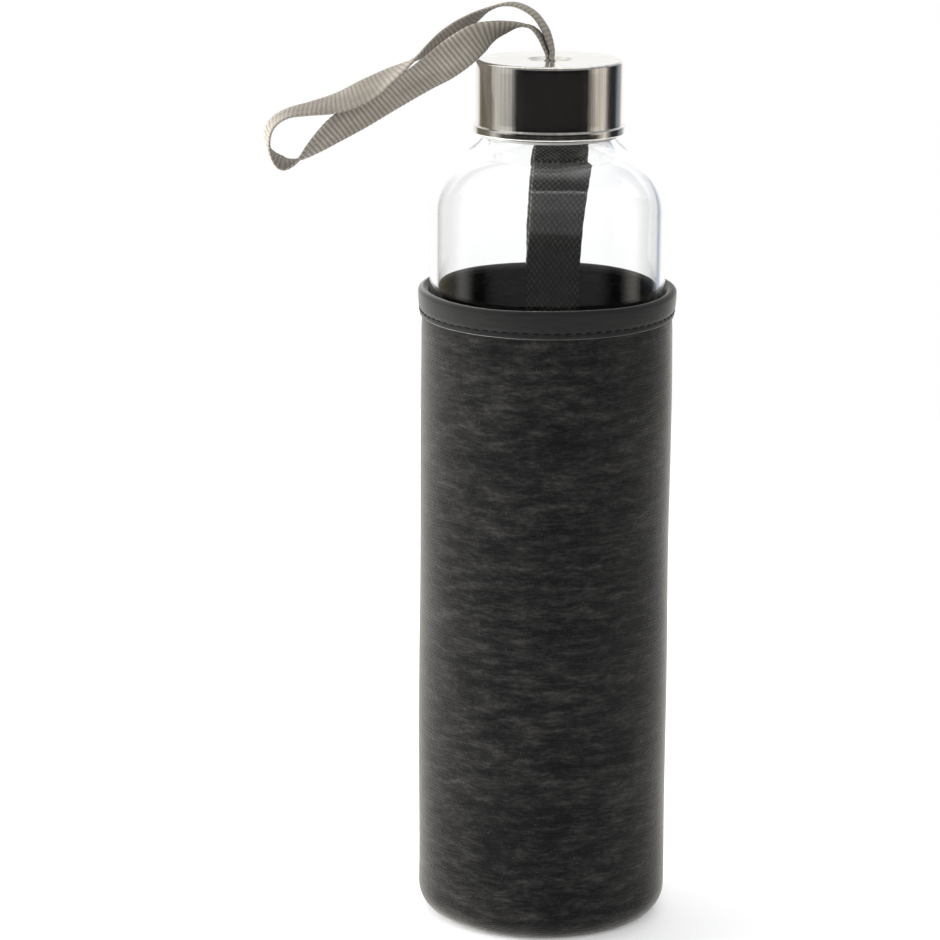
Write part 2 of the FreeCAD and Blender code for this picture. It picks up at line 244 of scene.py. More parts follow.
def threads(name, starts, ends, radius, material):
    """Lengths of sewing thread, each a thin spindle with round ends, in one mesh.

    A point is start + run * along + radius * (side * cos + other side * sin), and the
    radius follows the fourth root of a parabola, so the ends close round.
    """
    rings, sides = 7, 8
    along = (1 - np.cos(np.linspace(0, math.pi, rings))) / 2
    swell = (4 * along * (1 - along)) ** 0.25
    around = np.arange(sides) / sides * TAU
    direction = ends - starts
    unit = direction / np.linalg.norm(direction, axis=1, keepdims=True)
    helper = np.where(np.abs(unit[:, 2:]) > 0.8, [[1.0, 0, 0]], [[0, 0, 1.0]])
    side = np.cross(unit, helper)
    side /= np.linalg.norm(side, axis=1, keepdims=True)
    other = np.cross(unit, side)
    ring = (side[:, None, None] * np.cos(around)[None, None, :, None]
            + other[:, None, None] * np.sin(around)[None, None, :, None])
    points = (starts[:, None, None] + direction[:, None, None] * along[None, :, None, None]
              + radius * swell[None, :, None, None] * ring)
    count = len(starts)
    r, c = np.meshgrid(np.arange(rings - 1), np.arange(sides), indexing="ij")
    quad = np.stack([r * sides + c, r * sides + (c + 1) % sides,
                     (r + 1) * sides + (c + 1) % sides, (r + 1) * sides + c], -1).reshape(-1, 4)
    faces = (np.arange(count)[:, None, None] * rings * sides + quad[None]).reshape(-1, 4)
    mesh = bpy.data.meshes.new(name)
    mesh.from_pydata((points.reshape(-1, 3) * MM).tolist(), [], faces.tolist())
    mesh.polygons.foreach_set("use_smooth", np.ones(len(mesh.polygons), bool))
    piece = new_object(name, mesh, material)
    merge_points(piece, 1e-8)
    return piece


def smooth_path(rows, step):
    """A Catmull-Rom curve through rows of numbers, resampled evenly by its first three."""
    rows = np.array(rows, float)
    padded = np.concatenate([2 * rows[:1] - rows[1:2], rows, 2 * rows[-1:] - rows[-2:-1]])
    t = np.linspace(0, 1, 40, endpoint=False)[:, None, None]
    a, b, c, d = (padded[k:k + len(rows) - 1][None] for k in range(4))
    curve = 0.5 * (2 * b + (c - a) * t + (2 * a - 5 * b + 4 * c - d) * t ** 2
                   + (3 * b - a - 3 * c + d) * t ** 3)
    curve = np.concatenate([curve.transpose(1, 0, 2).reshape(-1, rows.shape[1]), rows[-1:]])
    for _ in range(30):
        curve[1:-1] = curve[1:-1] * 0.5 + (curve[:-2] + curve[2:]) * 0.25
    gaps = np.linalg.norm(np.diff(curve[:, :3], axis=0), axis=1)
    length = np.concatenate([[0], np.cumsum(gaps)])
    places = np.linspace(0, length[-1], max(3, round(length[-1] / step)))
    resampled = [np.interp(places, length, curve[:, k]) for k in range(rows.shape[1])]
    return places, np.stack(resampled, 1)


def tape_section(columns):
    """Places across a flat tape and through it, each from -1 to 1, once round its edge."""
    across = np.concatenate([[-1], -np.cos(np.linspace(0.28, math.pi - 0.28, columns)), [1]])
    through = np.concatenate([[0], np.full(columns, 1.0), [0]])
    through[1] = through[-2] = 0.72
    back = slice(-2, 0, -1)
    return np.concatenate([across, across[back]]), np.concatenate([through, -through[back]])


# ---------------------------------------------------------------- materials

def nodes_of(name):
    """A new material's node tree, and its Principled shader."""
    material = bpy.data.materials.new(name)
    material.use_nodes = True
    tree = material.node_tree
    return material, tree, tree.nodes["Principled BSDF"]


def add(tree, kind, inputs=None, **settings):
    """A node with its settings, and its input sockets given values or linked."""
    node = tree.nodes.new(kind)
    for key, value in settings.items():
        setattr(node, key, value)
    for key, value in (inputs or {}).items():
        if isinstance(value, bpy.types.NodeSocket):
            tree.links.new(value, node.inputs[key])
        else:
            node.inputs[key].default_value = value
    return node


def stretched(tree, vector, scale):
    """The vector scaled by a different amount along each of its axes."""
    return add(tree, "ShaderNodeMapping", {"Vector": vector, "Scale": scale}).outputs[0]


def noise(tree, vector, scale=(1, 1, 1), detail=3.0, rough=0.55):
    """Noise whose cells are one over scale metres along each axis."""
    placed = stretched(tree, vector, scale)
    return add(tree, "ShaderNodeTexNoise", {"Vector": placed, "Scale": 1.0, "Detail": detail,
                                            "Roughness": rough}).outputs["Fac"]


def ramp(tree, factor, stops):
    """Colours along a factor; each stop is (place, (r, g, b))."""
    node = add(tree, "ShaderNodeValToRGB", {"Fac": factor})
    bar = node.color_ramp
    while len(bar.elements) < len(stops):
        bar.elements.new(0.5)
    for element, (place, colour) in zip(bar.elements, stops):
        element.position = place
        element.color = (*colour, 1)
    return node.outputs["Color"]


def maths(tree, operation, first, second=0.5, third=0.0):
    """One sum on one, two or three values."""
    return add(tree, "ShaderNodeMath", {0: first, 1: second, 2: third},
               operation=operation).outputs[0]


def mixed(tree, factor, first, second):
    """A colour that goes from the first to the second as the factor goes from 0 to 1."""
    node = add(tree, "ShaderNodeMix", {0: factor, 6: first, 7: second}, data_type="RGBA")
    return node.outputs[2]


def rescaled(tree, value, low, high):
    """A 0 to 1 value moved to the range from low to high."""
    return add(tree, "ShaderNodeMapRange", {"Value": value, "To Min": low,
                                            "To Max": high}).outputs[0]


def within(tree, value, start, end):
    """0 at the start of a range of values, 1 at its end, and level beyond both."""
    return add(tree, "ShaderNodeMapRange", {"Value": value, "From Min": start,
                                            "From Max": end}).outputs[0]


def bumped(tree, height, strength, distance):
    """A normal that follows a height, whose full depth is a distance in millimetres."""
    return add(tree, "ShaderNodeBump", {"Height": height, "Strength": strength,
                                        "Distance": distance * MM}).outputs[0]


def make_group(name, inputs, outputs):
    """An empty node group with float, vector or colour sockets."""
    group = bpy.data.node_groups.new(name, "ShaderNodeTree")
    for side, sockets in (("INPUT", inputs), ("OUTPUT", outputs)):
        for label, kind in sockets:
            group.interface.new_socket(label, in_out=side, socket_type=f"NodeSocket{kind}")
    return group, add(group, "NodeGroupInput").outputs, add(group, "NodeGroupOutput").inputs


def fibre_group():
    """Fine fibres and lint for every fabric: a height, and a mask of pale stray hairs."""
    group, given, out = make_group("fibre", [("Vector", "Vector"), ("Fineness", "Float")],
                                   [("Height", "Float"), ("Lint", "Float")])
    scaled = add(group, "ShaderNodeVectorMath", {0: given["Vector"], "Scale": given["Fineness"]},
                 operation="SCALE").outputs[0]
    coarse = noise(group, scaled, (900, 900, 900), 4, 0.7)
    hairs = noise(group, scaled, (3000, 1200, 1200), 2, 0.6)
    group.links.new(maths(group, "MULTIPLY_ADD", hairs, 0.5, coarse), out["Height"])
    group.links.new(within(group, hairs, 0.62, 0.78), out["Lint"])
    return group


def grain_group():
    """Small scratches and smudges for metal and plastic, as one roughness mask."""
    group, given, out = make_group("grain", [("Vector", "Vector")], [("Mask", "Float")])
    smudge = noise(group, given["Vector"], (60, 60, 60), 4, 0.6)
    fine = noise(group, given["Vector"], (700, 700, 700), 2, 0.5)
    group.links.new(maths(group, "MULTIPLY_ADD", fine, 0.4, maths(group, "MULTIPLY", smudge, 0.6)),
                    out["Mask"])
    return group


FIBRE = fibre_group()
GRAIN = grain_group()


def coordinates(tree, kind="Object"):
    """Places on the piece: Object in metres, or its UV map."""
    return add(tree, "ShaderNodeTexCoord").outputs[kind]


def fibres(tree, fineness):
    """The outputs of the fibre group at one fineness."""
    inputs = {"Vector": coordinates(tree), "Fineness": fineness}
    return add(tree, "ShaderNodeGroup", inputs, node_tree=FIBRE).outputs


def grain_mask(tree):
    """The mask of the grain group."""
    inputs = {"Vector": coordinates(tree)}
    return add(tree, "ShaderNodeGroup", inputs, node_tree=GRAIN).outputs["Mask"]


def finish_cloth(shader, roughness, sheen, sheen_tint, sheen_rough=0.45):
    """Dull cloth with a soft sheen at its edges."""
    shader.inputs["Roughness"].default_value = roughness
    shader.inputs["Sheen Weight"].default_value = sheen
    shader.inputs["Sheen Roughness"].default_value = sheen_rough
    shader.inputs["Sheen Tint"].default_value = (*sheen_tint, 1)
    shader.inputs["Specular IOR Level"].default_value = 0.25


def glass_material():
    """Clear borosilicate."""
    material, tree, shader = nodes_of("clear_glass")
    shader.inputs["Base Color"].default_value = (0.994, 0.998, 0.999, 1)
    shader.inputs["Transmission Weight"].default_value = 1.0
    shader.inputs["IOR"].default_value = 1.474
    shader.inputs["Specular IOR Level"].default_value = 0.18
    smudge = grain_mask(tree)
    tree.links.new(rescaled(tree, smudge, 0.0, 0.015), shader.inputs["Roughness"])
    return material


def steel_material():
    """Stainless steel brushed upright, from fine lines that vary only round the cap."""
    material, tree, shader = nodes_of("brushed_steel")
    uv = coordinates(tree, "UV")
    lines = noise(tree, uv, (5200, 25, 1), 3, 0.65)
    broad = noise(tree, uv, (700, 9, 1), 3, 0.65)
    both = maths(tree, "MULTIPLY_ADD", broad, 0.9, lines)
    grain = grain_mask(tree)
    tone = ramp(tree, maths(tree, "MULTIPLY", both, 0.53),
                [(0.3, (0.42, 0.395, 0.35)), (0.5, (0.66, 0.635, 0.59)),
                 (0.7, (0.88, 0.865, 0.83))])
    tree.links.new(tone, shader.inputs["Base Color"])
    shader.inputs["Metallic"].default_value = 1.0
    tree.links.new(rescaled(tree, grain, 0.08, 0.18), shader.inputs["Roughness"])
    tree.links.new(bumped(tree, both, 0.45, 0.03), shader.inputs["Normal"])
    return material


def plastic_material(name, colour, roughness):
    """Moulded plastic or silicone with a fine satin grain."""
    material, tree, shader = nodes_of(name)
    grain = grain_mask(tree)
    dark = tuple(part * 0.86 for part in colour)
    tree.links.new(mixed(tree, grain, (*dark, 1), (*colour, 1)), shader.inputs["Base Color"])
    tree.links.new(rescaled(tree, grain, roughness * 0.8, roughness * 1.25),
                   shader.inputs["Roughness"])
    tree.links.new(bumped(tree, grain, 0.25, 0.03), shader.inputs["Normal"])
    return material


def strap_material():
    """Taupe webbing: fine warp threads along it, and shade between its raised ribs."""
    material, tree, shader = nodes_of("strap_webbing")
    uv = coordinates(tree, "UV")
    fibre = fibres(tree, 1.0)
    along = add(tree, "ShaderNodeSeparateXYZ", {0: uv}).outputs["X"]
    phase = maths(tree, "MULTIPLY", along, math.pi / (RIB_PITCH * MM))
    wander = maths(tree, "MULTIPLY_ADD", noise(tree, uv, (300, 500, 1), 2, 0.5), 0.9, phase)
    ribs = maths(tree, "ABSOLUTE", maths(tree, "COSINE", wander))
    groove = maths(tree, "SUBTRACT", 1.0, maths(tree, "POWER", ribs, 1.6))
    warp = noise(tree, uv, (160, 3600, 1), 2, 0.6)
    cloudy = noise(tree, uv, (70, 200, 1), 3, 0.6)
    tone = ramp(tree, cloudy, [(0.3, (0.23, 0.208, 0.178)), (0.7, (0.38, 0.352, 0.31))])
    tone = mixed(tree, rescaled(tree, warp, 0.0, 0.45), tone, (0.27, 0.24, 0.2, 1))
    tone = mixed(tree, maths(tree, "MULTIPLY", groove, 0.62), tone, (0.10, 0.085, 0.07, 1))
    tone = mixed(tree, maths(tree, "MULTIPLY", fibre["Lint"], 0.3), tone, (0.7, 0.67, 0.6, 1))
    tree.links.new(tone, shader.inputs["Base Color"])
    finish_cloth(shader, 0.85, 0.12, (0.9, 0.85, 0.78))
    relief = maths(tree, "MULTIPLY_ADD", warp, 0.8, fibre["Height"])
    tree.links.new(bumped(tree, relief, 0.35, 0.05), shader.inputs["Normal"])
    return material


def knit_material():
    """Heathered knit: dark and pale yarns drawn out round the sleeve, over small loops."""
    material, tree, shader = nodes_of("sleeve_knit")
    uv = coordinates(tree, "UV")
    fibre = fibres(tree, 1.0)
    drift = add(tree, "ShaderNodeTexNoise", {"Vector": uv, "Scale": 120.0, "Detail": 2.0})
    shifted = add(tree, "ShaderNodeVectorMath", {0: drift.outputs["Color"], "Scale": 0.0022},
                  operation="SCALE").outputs[0]
    bent = add(tree, "ShaderNodeVectorMath", {0: uv, 1: shifted}, operation="ADD").outputs[0]
    long_yarn = noise(tree, bent, (110, 400, 1), 5, 0.64)
    short_yarn = noise(tree, bent, (480, 1150, 1), 4, 0.65)
    cloud = noise(tree, uv, (24, 90, 1), 4, 0.6)
    streak = maths(tree, "MULTIPLY_ADD", short_yarn, 0.6, long_yarn)
    streak = maths(tree, "MULTIPLY_ADD", cloud, 0.45, streak)
    tone = ramp(tree, maths(tree, "MULTIPLY", streak, 0.488),
                [(0.40, (0.001, 0.001, 0.001)), (0.47, (0.0045, 0.0045, 0.0045)),
                 (0.54, (0.0125, 0.0123, 0.0118)), (0.64, (0.034, 0.033, 0.031))])
    tone = mixed(tree, maths(tree, "MULTIPLY", fibre["Lint"], 0.3), tone, (0.1, 0.1, 0.095, 1))
    tree.links.new(tone, shader.inputs["Base Color"])
    finish_cloth(shader, 0.9, 0.6, (0.88, 0.85, 0.79), 0.35)
    courses = add(tree, "ShaderNodeTexWave", {"Vector": bent, "Scale": TAU / (0.9 * MM) / 20,
                  "Distortion": 1.5, "Detail": 1.0, "Detail Scale": 3.0}, bands_direction="Y")
    relief = maths(tree, "MULTIPLY_ADD", courses.outputs["Fac"], 0.25, streak)
    relief = maths(tree, "MULTIPLY_ADD", fibre["Height"], 0.7, relief)
    tree.links.new(bumped(tree, relief, 0.8, 0.14), shader.inputs["Normal"])
    return material


def binding_material():
    """Smooth stretch binding: even dark grey, with painted light making the face inside the rim
    paler.
    """
    material, tree, shader = nodes_of("binding_fabric")
    uv = coordinates(tree, "UV")
    fibre = fibres(tree, 1.6)
    drawn = noise(tree, uv, (120, 2200, 1), 3, 0.6)
    tone = ramp(tree, drawn, [(0.3, (0.009, 0.009, 0.009)), (0.7, (0.015, 0.015, 0.0145))])
    # Painted light: a paler copy of the binding's colour on the face inside the rim, standing in
    # for light that the glass keeps from it.
    painted_light_inner_tone = ramp(tree, drawn, [(0.3, (0.085, 0.084, 0.081)), (0.7, (0.13, 0.128, 0.124))])
    place = add(tree, "ShaderNodeSeparateXYZ", {0: coordinates(tree)}).outputs
    square = maths(tree, "MULTIPLY", place["X"], place["X"])
    square = maths(tree, "MULTIPLY_ADD", place["Y"], place["Y"], square)
    inner, outer = ((CREST_RADIUS + side) * MM for side in (-0.9, 0.1))
    inside = within(tree, square, outer ** 2, inner ** 2)
    tree.links.new(mixed(tree, inside, tone, painted_light_inner_tone), shader.inputs["Base Color"])
    finish_cloth(shader, 0.8, 0.6, (0.8, 0.79, 0.75), 0.35)
    relief = maths(tree, "MULTIPLY_ADD", drawn, 0.5, fibre["Height"])
    tree.links.new(bumped(tree, relief, 0.4, 0.05), shader.inputs["Normal"])
    return material


def loop_material():
    """Near-black webbing in a plain weave: raised weft floats with painted light, between gaps
    with painted shade.
    """
    material, tree, shader = nodes_of("loop_webbing")
    uv = coordinates(tree, "UV")
    fibre = fibres(tree, 1.3)
    wander = noise(tree, uv, (300, 300, 1), 2, 0.5)
    split = add(tree, "ShaderNodeSeparateXYZ", {0: uv}).outputs
    along = maths(tree, "MULTIPLY_ADD", wander, 1.2,
                  maths(tree, "MULTIPLY", split["X"], math.pi / (1.05 * MM)))
    aside = maths(tree, "MULTIPLY_ADD", wander, 1.2,
                  maths(tree, "MULTIPLY", split["Y"], math.pi / (0.8 * MM)))
    cell = maths(tree, "MULTIPLY", maths(tree, "SINE", along), maths(tree, "SINE", aside))
    floats = maths(tree, "MULTIPLY_ADD", cell, 0.5, 0.5)
    uneven = maths(tree, "MULTIPLY", floats, maths(tree, "ADD", wander, 0.35))
    # Painted light and shade: the raised floats are painted paler and the gaps between them
    # darker, on one near-black yarn; the wander noise adds the yarn's own uneven tone.
    tone = ramp(tree, uneven, [(0.2, (0.022, 0.022, 0.019)), (0.55, (0.06, 0.06, 0.052)),
                               (0.8, (0.15, 0.148, 0.13))])
    tree.links.new(tone, shader.inputs["Base Color"])
    finish_cloth(shader, 0.7, 0.3, (0.8, 0.78, 0.7))
    relief = maths(tree, "MULTIPLY_ADD", fibre["Height"], 0.4, floats)
    tree.links.new(bumped(tree, relief, 0.7, 0.16), shader.inputs["Normal"])
    return material


def thread_material():
    """Black sewing thread with a twisted lay."""
    material, tree, shader = nodes_of("stitch_thread")
    fibre = fibres(tree, 2.0)
    tree.links.new(mixed(tree, fibre["Lint"], (0.002, 0.002, 0.002, 1), (0.012, 0.012, 0.012, 1)),
                   shader.inputs["Base Color"])
    finish_cloth(shader, 0.6, 0.03, (0.6, 0.6, 0.6))
    tree.links.new(bumped(tree, fibre["Height"], 0.5, 0.04), shader.inputs["Normal"])
    return material


GLASS = glass_material()
STEEL = steel_material()
LINER = plastic_material("liner_plastic", (0.5, 0.5, 0.48), 0.35)
SILICONE = plastic_material("silicone", (0.8, 0.8, 0.78), 0.55)
RETAINER = plastic_material("retainer_plastic", (0.06, 0.06, 0.06), 0.4)
STRAP = strap_material()
KNIT = knit_material()
BINDING = binding_material()
LOOP = loop_material()
THREAD = thread_material()


# ---------------------------------------------------------------- glass and cap

def glass_side(inset):
    """Outline of the bottle from its heel up to the foot of its neck, moved in by inset."""
    centre = GLASS_R - SHOULDER_R
    reach, fillet = SHOULDER_R + NECK_FILLET, NECK_R + NECK_FILLET
    rise = math.sqrt(reach ** 2 - (fillet - centre) ** 2)
    meet = math.degrees(math.atan2(rise, fillet - centre))
    floor = GLASS_BASE + (GLASS_FLOOR if inset else 0)
    wall, heel = GLASS_R - inset, HEEL_R - inset / 2
    return join(arc((wall - heel, floor + heel), heel, -90, 0, 16),
                run((wall, floor + heel), (wall, SHOULDER_Z), 12),
                arc((centre, SHOULDER_Z), SHOULDER_R - inset, 0, meet, 40),
                arc((fillet, SHOULDER_Z + rise), NECK_FILLET + inset, meet + 180, 180, 10))


def thread_height(angle, height):
    """How far the screw thread stands out: a rounded ridge along a rising helix.

    The ridge's middle is at start + pitch * turns; it fades in and out at its ends.
    """
    best = np.zeros(np.broadcast(angle, height).shape)
    for lap in range(2):
        turns = ((angle - THREAD_START_ANGLE) % TAU) / TAU + lap
        away = np.abs(height - THREAD_START_Z - PITCH * turns)
        ridge = 1 - ease(away, 0.35, 0.95)
        ends = ease(turns, 0, 0.05) * (1 - ease(turns, THREAD_TURNS - 0.05, THREAD_TURNS))
        best = np.maximum(best, ridge * ends)
    return THREAD_DEPTH * best


def make_glass():
    """Glass: one outline up the outside, round the lip and down the inside, turned once."""
    outer, inner = glass_side(0), glass_side(GLASS_WALL)
    lip_z = GLASS_TOP - GLASS_WALL / 2
    neck = run((NECK_R, outer[-1, 1]), (NECK_R, lip_z), 78)
    lip = arc((NECK_R - GLASS_WALL / 2, lip_z), GLASS_WALL / 2, 0, 180, 12)
    bore = run((NECK_R - GLASS_WALL, lip_z), (NECK_R - GLASS_WALL, inner[-1, 1]), 8)
    push = np.linspace(0, PUSH_UP_R, 12)
    foot = np.stack([push, GLASS_BASE + PUSH_UP * (1 - (push / PUSH_UP_R) ** 2)], 1)
    floor = run(inner[0], (0, inner[0, 1]), 8)
    outline = join(foot, run((PUSH_UP_R, GLASS_BASE), outer[0], 3), outer, neck, lip, bore,
                   inner[::-1], floor)
    finish_z = THREAD_START_Z - 1.5

    def threaded(angle, radius, height):
        outside = (radius > NECK_R - 0.1) & (height > finish_z) & (radius < NECK_R + 0.1)
        # A lathe angle runs from the front, and the thread's from +X.
        ridge = thread_height(angle - math.pi / 2, height)
        return angle, radius + np.where(outside, ridge, 0), height

    piece = lathe("glass_wall", outline, 224, GLASS, threaded, closed=False)
    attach(piece, "bottle")
    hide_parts("glass_bottle", "glass_neck")


def make_cap():
    """Steel cap: an outline whose innermost rings change from a circle to the strap's slot."""
    dimple = CAP_TOP - DIMPLE_DEPTH
    under = CAP_TOP - 1.8
    inner_r = CAP_R - CAP_SKIN
    top = join(run((STRAP_SLOT[1], dimple), (DIMPLE_R - 0.9, dimple), 6),
               arc((DIMPLE_R - 0.9, dimple + 0.5), 0.5, -90, -25, 5),
               arc((DIMPLE_R + 0.45, CAP_TOP - 0.5), 0.5, 155, 90, 6),
               run((DIMPLE_R + 0.45, CAP_TOP), (CAP_R - 1.0, CAP_TOP - 0.02), 10),
               arc((CAP_R - 1.0, CAP_TOP - 1.02), 1.0, 90, 0, 10))
    skirt_r = CAP_R - 0.1
    skirt = run((CAP_R, CAP_TOP - 1.02), (skirt_r, CAP_LOW + 2.7), 14)
    turn_out = arc((skirt_r + 0.35, CAP_LOW + 2.7), 0.35, 180, 270, 6)
    bead = join(arc((CAP_BEAD_R - 0.35, CAP_LOW + 2.0), 0.35, 90, 0, 6),
                run((CAP_BEAD_R, CAP_LOW + 2.0), (CAP_BEAD_R - 0.05, CAP_LOW + 0.6), 5),
                arc((CAP_BEAD_R - 0.65, CAP_LOW + 0.6), 0.6, 0, -90, 10))
    inside = join(run((CAP_BEAD_R - 1.2, CAP_LOW), (inner_r, CAP_LOW), 3),
                  run((inner_r, CAP_LOW), (inner_r, CAP_TOP - CAP_SKIN), 4),
                  run((inner_r, CAP_TOP - CAP_SKIN), (DIMPLE_R + CAP_SKIN, CAP_TOP - CAP_SKIN), 3),
                  run((DIMPLE_R + CAP_SKIN, CAP_TOP - CAP_SKIN), (DIMPLE_R + CAP_SKIN, under), 3),
                  run((DIMPLE_R + CAP_SKIN, under), (STRAP_SLOT[1], under), 4))
    outline = join(top, skirt, turn_out, bead, inside)

    def slotted(angle, radius, height):
        across = np.sign(np.sin(angle)) * np.abs(np.sin(angle)) ** 0.45 * STRAP_SLOT[0]
        along = np.sign(-np.cos(angle)) * np.abs(np.cos(angle)) ** 0.6 * STRAP_SLOT[1]
        share = 1 - ease(radius, STRAP_SLOT[1], DIMPLE_R - 0.9)
        share = np.where(height > dimple + 0.01, 0, share)
        x = radius * np.sin(angle) * (1 - share) + across * share
        y = -radius * np.cos(angle) * (1 - share) + along * share
        return np.arctan2(x, -y), np.hypot(x, y), height

    piece = lathe("cap_steel", outline, 256, STEEL, slotted)
    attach(piece, "cap")
    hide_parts("cap_shell")


# ---------------------------------------------------------------- carry strap

# The strap's middle line from its exit to the left and back, in millimetres, and the
# turn of its width about that line in degrees, from level along Y.
STRAP_ROUTE = [
    (0.6, 0.0, 238.2, 0), (0.7, 0.0, 241.5, -5), (-0.3, 0.3, 245.4, -9),
    (-1.6, 0.7, 248.4, -8), (-4.3, 1.4, 251.9, -4), (-8.4, 2.2, 254.1, 0),
    (-12.4, 2.6, 254.4, 4), (-17.0, 2.9, 252.9, 9), (-20.6, 3.1, 250.7, 20),
    (-24.6, 3.2, 247.7, 30), (-29.0, 3.0, 244.5, 30), (-33.5, 2.0, 241.5, 18),
    (-38.0, 0.5, 238.6, 0), (-43.0, -0.8, 235.4, -18), (-49.7, -1.6, 231.1, -33),
    (-57.2, -1.6, 227.8, -26), (-64.7, -1.0, 226.1, -14), (-70.7, -0.5, 224.7, -8),
    (-74.7, -0.2, 222.2, -10), (-76.5, 0.0, 218.6, -12), (-75.8, 0.2, 214.2, -4),
    (-72.8, 0.4, 211.0, 12), (-70.0, 0.6, 210.9, 4), (-67.4, 0.8, 212.2, -8),
    (-64.3, 1.2, 214.8, -24), (-60.8, 1.7, 217.7, -38), (-57.0, 2.0, 220.6, -50),
    (-51.4, 2.2, 224.2, -58), (-44.8, 1.5, 228.3, -57), (-35.2, -0.6, 234.2, -57),
    (-29.7, -2.2, 238.0, -72), (-25.0, -2.8, 241.6, -80), (-19.7, -2.9, 245.6, -62),
    (-15.9, -2.4, 247.5, -40), (-12.2, -1.7, 248.5, -26), (-8.5, -1.0, 249.1, -12),
    (-5.4, -0.4, 248.6, -3), (-3.0, -0.1, 246.6, 4), (-1.4, 0.0, 243.7, 6),
    (-0.6, 0.0, 241.2, 3), (-0.55, 0.0, 238.2, 0)]


def make_strap():
    """Ribbed tape carried along its route.

    A point is the middle line + across * half width * side + through * half thickness,
    where side turns from level to upright, and rounded ribs swell the thickness.
    """
    length, route = smooth_path(STRAP_ROUTE, 0.22)
    middle, turn = route[:, :3], np.radians(route[:, 3])
    along = np.gradient(middle, length, axis=0)
    along /= np.linalg.norm(along, axis=1, keepdims=True)
    level = np.array([0, 1.0, 0]) - along * along[:, 1:2]
    level /= np.linalg.norm(level, axis=1, keepdims=True)
    upright = np.cross(along, level)
    side = level * np.cos(turn)[:, None] + upright * np.sin(turn)[:, None]
    through = np.cross(along, side)
    a, b = tape_section(13)
    ends = np.minimum(length, length[-1] - length)
    half = (0.82 + 0.18 * ease(ends, 4, 26)) * STRAP_W / 2
    ribs = np.abs(np.cos(math.pi * length / RIB_PITCH)) ** 0.7
    swell = 1 + 0.42 * ribs[:, None] * (1 - np.abs(a)[None] ** 6)
    edge = 1 + 0.012 * np.cos(TAU * length / RIB_PITCH)
    points = (middle[:, None] + side[:, None] * (half * edge)[:, None, None] * a[None, :, None]
              + through[:, None] * (STRAP_T / 2 * 0.72 * swell * b[None])[:, :, None])
    around = np.concatenate([a * STRAP_W / 2, a[:1] * STRAP_W / 2])
    uv = np.stack(np.meshgrid(around, length), -1)[..., ::-1]
    caps = [middle[:1, None] + 0 * points[:1], middle[-1:, None] + 0 * points[:1]]
    points = np.concatenate([caps[0], points, caps[1]])
    uv = np.concatenate([uv[:1], uv, uv[-1:]])
    piece = surface("carry_strap_tape", points, STRAP, wrap_cols=True, uv=uv)
    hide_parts("carry_strap", "strap_root")
    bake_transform(piece)
    print("strap length in millimetres", round(float(length[-1]), 1))


# ---------------------------------------------------------------- sleeve

def make_sleeve_body():
    """Padded knit tube: a closed wall, a little uneven, drawn in under the rim's binding."""
    inner_r = SLEEVE_R - SLEEVE_WALL
    centre = (SLEEVE_R - CORNER_R, CORNER_R)
    seam = BASE_R + 0.4
    top = RIM_Z - 0.4
    outline = join(run((seam, 0.5), (seam + 0.5, 0), 3), run((seam + 0.5, 0), (centre[0], 0), 3),
                   arc(centre, CORNER_R, -90, 0, 22),
                   run((SLEEVE_R, CORNER_R), (SLEEVE_R, top), 110),
                   run((SLEEVE_R, top), (inner_r, top), 3),
                   run((inner_r, top), (inner_r, CORNER_R), 30),
                   arc(centre, CORNER_R - SLEEVE_WALL, 0, -90, 12),
                   run((centre[0], SLEEVE_WALL), (seam, SLEEVE_WALL), 3))

    def padded_wall(angle, radius, height):
        outside = (radius > inner_r + 0.2) & (height > 2)
        uneven = 0.16 * wobble(4, 9, angle, height) * ease(height, 2, 20)
        lean = RIM_RISE / 2 * -np.cos(angle) * ease(height, 140, top)
        squeeze = -0.25 * np.exp(-((height - (top - BINDING_DROP + 0.8)) / 2.2) ** 2)
        return angle, radius + np.where(outside, uneven + squeeze, 0), height + lean

    piece = lathe("sleeve_knit_wall", outline, 320, KNIT, padded_wall)
    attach(piece, "sleeve")
    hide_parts("sleeve_body")


def make_sleeve_base():
    """Round knit panel under the sleeve, its edge rolled in at the seam."""
    edge = BASE_R + 0.1
    outline = join(run((0, 0.12), (edge - 1.5, 0), 12), arc((edge - 0.9, 0.9), 0.9, -90, 90, 10),
                   run((edge - 1.5, SLEEVE_WALL), (0, SLEEVE_WALL), 8))
    piece = lathe("sleeve_base_panel", outline, 160, KNIT, closed=False)
    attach(piece, "sleeve")
    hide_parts("sleeve_base")


